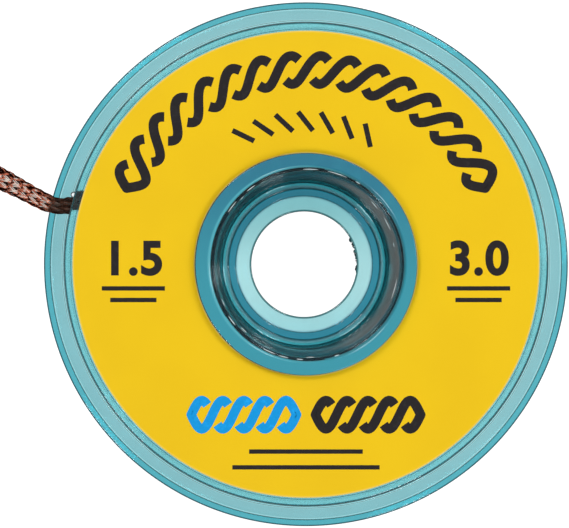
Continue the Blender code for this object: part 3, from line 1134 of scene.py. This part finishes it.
def stadium(turn, width, thickness):
    """A place on a flat oval and the direction out of it; turn runs from 0 to 1 round it."""
    flat, half = width - thickness, thickness / 2
    end = math.pi * half
    run = (turn % 1.0) * 2 * (flat + end)
    side = 1.0
    if run >= flat + end:
        run -= flat + end
        side = -1.0
    if run < flat:
        return (side * (run - flat / 2), side * half), (0.0, side)
    x, y = polar(side, math.pi / 2 - (run - flat) / half)
    return (side * flat / 2 + half * x, half * y), (x, y)


class BOBBIN_OT_tail(bpy.types.Operator):
    """Plaits the braid's free end wire by wire, from the winding through the slot to its cut end"""

    bl_idname = "bobbin.tail"
    bl_label = "Free end of the braid"

    def execute(self, context):
        braid = values("braid_sizes")
        chance = random.Random(7)
        stations = tail_frames(0.19 * MM)
        curve = bevelled_curve("tail", braid.wire / 2, 0)
        crowns = []
        for side in (1, -1):
            for carrier in range(braid.carriers):
                for strand in range(braid.strands):
                    crowns += self.wire(curve, stations, side, carrier, strand, chance)
        tail = meshed(curve, "braid_tail_wires")
        rim = len(tail.data.vertices) // len(crowns)
        # The crown attribute carries painted light to the copper's colour
        shade = tail.data.attributes.new("crown", "FLOAT", "POINT")
        for index, value in enumerate(shade.data):
            value.value = crowns[index // rim]
        smooth(tail, 80)
        coat(tail, braid_copper())
        placed(tail, "bobbin", "copper_braid", "braid_tail")
        return {"FINISHED"}

    def wire(self, curve, stations, side, carrier, strand, chance):
        """One wire of one bundle: round the flat oval, over and under the bundles it crosses.

        It gives back how high the wire lies at each point, from 0 in a dip to 1 on a crown, made lower
        towards the braid's edges and on a bundle's outer wires: painted light for the copper's colour.
        """
        braid = values("braid_sizes")
        inset = 2 * braid.lift + braid.wire
        width, thickness = braid.width - inset, braid.thickness - inset
        rim = 2 * (width - thickness) + math.pi * thickness
        total = stations[-1][3]
        off_middle = strand - (braid.strands - 1) / 2
        beside = off_middle * braid.wire * 1.02 / rim
        phase, sway = chance.uniform(0, FULL_TURN), chance.uniform(0.5, 1.0)
        # Painted shade: a bundle's outer wires are drawn darker than its middle one
        dimmer = 0.36 * abs(off_middle) + chance.uniform(-0.16, 0.16)
        cut = total - chance.uniform(0.0, 1.0) * CUT_SPREAD
        spread = (chance.uniform(-1, 1), chance.uniform(-0.4, 1.0))
        points, crowns = [], []
        for place, wide, out, run in stations:
            if run > cut:
                break
            turns = run / braid.lay
            # Tight inside the bobbin, looser past the slot
            loose = 0.35 + 0.65 * eased(run, 21 * MM, 30 * MM)
            stray = STRAY_ROUND * loose * sway * math.sin(phase + run / STRAY_ROUND_WAVE)
            round_oval = carrier / braid.carriers + side * turns + beside + stray
            (x, y), (nx, ny) = stadium(round_oval, width, thickness)
            cross = braid.carriers * turns + carrier + 0.25
            lift = side * braid.lift * math.cos(math.pi * cross)
            lift += STRAY_LIFT * loose * sway * math.sin(2.3 * phase + run / STRAY_LIFT_WAVE)
            fray = eased(run, total - FRAY_LENGTH, total) * FRAY
            x += nx * lift + spread[0] * fray
            bulge = KINK * math.exp(-((place.x - KINK_PLACE) / KINK_LENGTH) ** 2) if x > 0 else 0.0
            # Spread wider from the slot to past the lip
            flatter = (eased(run, 21.5 * MM, 23.8 * MM) + eased(run, 24.5 * MM, 28.5 * MM)
                       - eased(run, 31 * MM, 35 * MM))
            x *= bulge + 1.04 + 0.2 * flatter
            y += ny * lift + spread[1] * fray
            point = place + wide * x + out * y
            # No wire may reach under the ground
            point.z = max(point.z, 0.6 * braid.wire)
            points.append(point)
            # Painted shade: the braid's edges drawn dark
            edge = eased(abs(x), 0.38 * braid.width, 0.50 * braid.width)
            crowns.append((0.5 + 0.5 * math.cos(math.pi * cross) * side) * (1.0 - 0.6 * edge) - dimmer)
        polyline(curve, points)
        return crowns


def softbox(name, place, size, strength):
    """A soft square light that faces the bobbin and isn't seen itself."""
    light = bpy.data.lights.new(name, "AREA")
    light.shape = "RECTANGLE"
    light.size, light.size_y = size
    light.energy = strength * size[0] * size[1]
    lamp = bpy.data.objects.new(name, light)
    lamp.location = place
    lamp.rotation_euler = (Vector((0, 0, 0.006)) - Vector(place)).to_track_quat("-Z", "Y").to_euler()
    lamp.visible_camera = False
    bpy.context.scene.collection.objects.link(lamp)


class BOBBIN_OT_stage(bpy.types.Operator):
    """Sets the pale lit table, the softboxes and the camera over the label"""

    bl_idname = "bobbin.stage"
    bl_label = "Table, light and camera"

    def execute(self, context):
        studio = values("bobbin_studio")
        deselect()
        bpy.ops.mesh.primitive_plane_add(size=8.0, location=(0, 0, -0.05 * MM))
        table = named(context.object, "table")
        apply_place()
        coat(table, self.table_top(studio))
        self.surroundings(studio)
        for number, (angle, height, width) in enumerate(LAMPS):
            place = (*polar(LAMP_REACH, math.radians(angle)), height)
            softbox(f"softbox_{number}", place, (width, LAMP_LENGTH), studio.softbox * LAMP_POWER)
        self.camera(studio)
        return {"FINISHED"}

    def table_top(self, studio):
        """Pale table lit from below, straight up more than aslant, and greyer further out."""
        material, tree, shader = blank_material("table_top")
        vector, _, radius = object_place(tree)
        grain = noise(tree, vector, 300.0, 3.0)
        pale = blend(tree, ramp(tree, grain, 0.3, 0.7), (0.36, 0.36, 0.36), (0.34, 0.34, 0.34))
        glow = ramp(tree, radius, 0.05, 0.22, studio.glow, 0.62 * studio.glow)
        slant = add(tree, "ShaderNodeLayerWeight", Blend=0.5).outputs["Facing"]
        upwards = ramp(tree, slant, 0.005, 0.06, 1.0, studio.slant_glow)
        set_inputs(tree, shader, Base_Color=pale, Roughness=0.6, Specular_IOR_Level=0.1,
                   Emission_Color=(1.0, 1.0, 1.0, 1.0), Emission_Strength=times(tree, glow, upwards))
        return material

    def surroundings(self, studio):
        """Pale grey behind the table; dim light all round, so that edges draw dark, bright overhead."""
        world = bpy.data.worlds.new("surroundings")
        bpy.context.scene.world = world
        world.use_nodes = True
        tree = world.node_tree
        seen = add(tree, "ShaderNodeLightPath").outputs["Is Camera Ray"]
        way = add(tree, "ShaderNodeTexCoord").outputs["Generated"]
        height = add(tree, "ShaderNodeSeparateXYZ", Vector=way).outputs[2]
        light = ramp(tree, height, 0.90, 0.97, studio.fill, studio.fill + studio.overhead)
        strength = times_plus(tree, seen, math_node(tree, "SUBTRACT", 0.85, light), light)
        set_inputs(tree, tree.nodes["Background"], Color=(0.96, 0.98, 1.0, 1.0), Strength=strength)

    def camera(self, studio):
        data = bpy.data.cameras.new("camera")
        camera = bpy.data.objects.new("camera", data)
        bpy.context.scene.collection.objects.link(camera)
        label_top = values("bobbin_sizes").label_bed + 0.12 * MM
        camera.location = (studio.aim_x, 0.02 * MM, label_top + studio.camera_height)
        data.sensor_width = 36.0
        data.lens = data.sensor_width * studio.camera_height / studio.frame_width
        data.clip_start, data.clip_end = 0.1, 20.0
        bpy.context.scene.camera = camera
        bpy.context.scene.view_settings.view_transform = "Standard"


class BOBBIN_PT_panel(bpy.types.Panel):
    """Lists the bobbin's pieces and their sizes and colours."""

    bl_idname = "BOBBIN_PT_panel"
    bl_label = "Desoldering braid bobbin"
    bl_space_type = "VIEW_3D"
    bl_region_type = "UI"
    bl_category = "Bobbin"

    def draw(self, context):
        layout = self.layout
        for operator in OPERATORS:
            layout.operator(operator.bl_idname, text=operator.bl_label)
        for attribute, group in GROUPS:
            box = layout.box()
            for name in group.__annotations__:
                box.prop(getattr(context.scene, attribute), name)


GROUPS = (
    ("bobbin_sizes", BobbinSizes),
    ("braid_sizes", BraidSizes),
    ("bobbin_colours", BobbinColours),
    ("bobbin_studio", StudioValues),
)
OPERATORS = (
    BOBBIN_OT_stage,
    BOBBIN_OT_tail,
    BOBBIN_OT_base,
    BOBBIN_OT_cover,
    BOBBIN_OT_glints,
    BOBBIN_OT_winding,
    BOBBIN_OT_label,
    BOBBIN_OT_print,
)


def register():
    for attribute, group in GROUPS:
        bpy.utils.register_class(group)
        setattr(bpy.types.Scene, attribute, bpy.props.PointerProperty(type=group))
    for operator in OPERATORS:
        bpy.utils.register_class(operator)
    bpy.utils.register_class(BOBBIN_PT_panel)


def unregister():
    bpy.utils.unregister_class(BOBBIN_PT_panel)
    for operator in reversed(OPERATORS):
        bpy.utils.unregister_class(operator)
    for attribute, group in reversed(GROUPS):
        delattr(bpy.types.Scene, attribute)
        bpy.utils.unregister_class(group)


def main():
    register()
    bpy.ops.bobbin.stage()
    bpy.ops.bobbin.tail()
    bpy.ops.bobbin.base()
    bpy.ops.bobbin.cover()
    bpy.ops.bobbin.scuffs()
    bpy.ops.bobbin.winding()
    bpy.ops.bobbin.label()
    bpy.ops.bobbin.print()
    deselect()


if __name__ == "__main__":
    main()
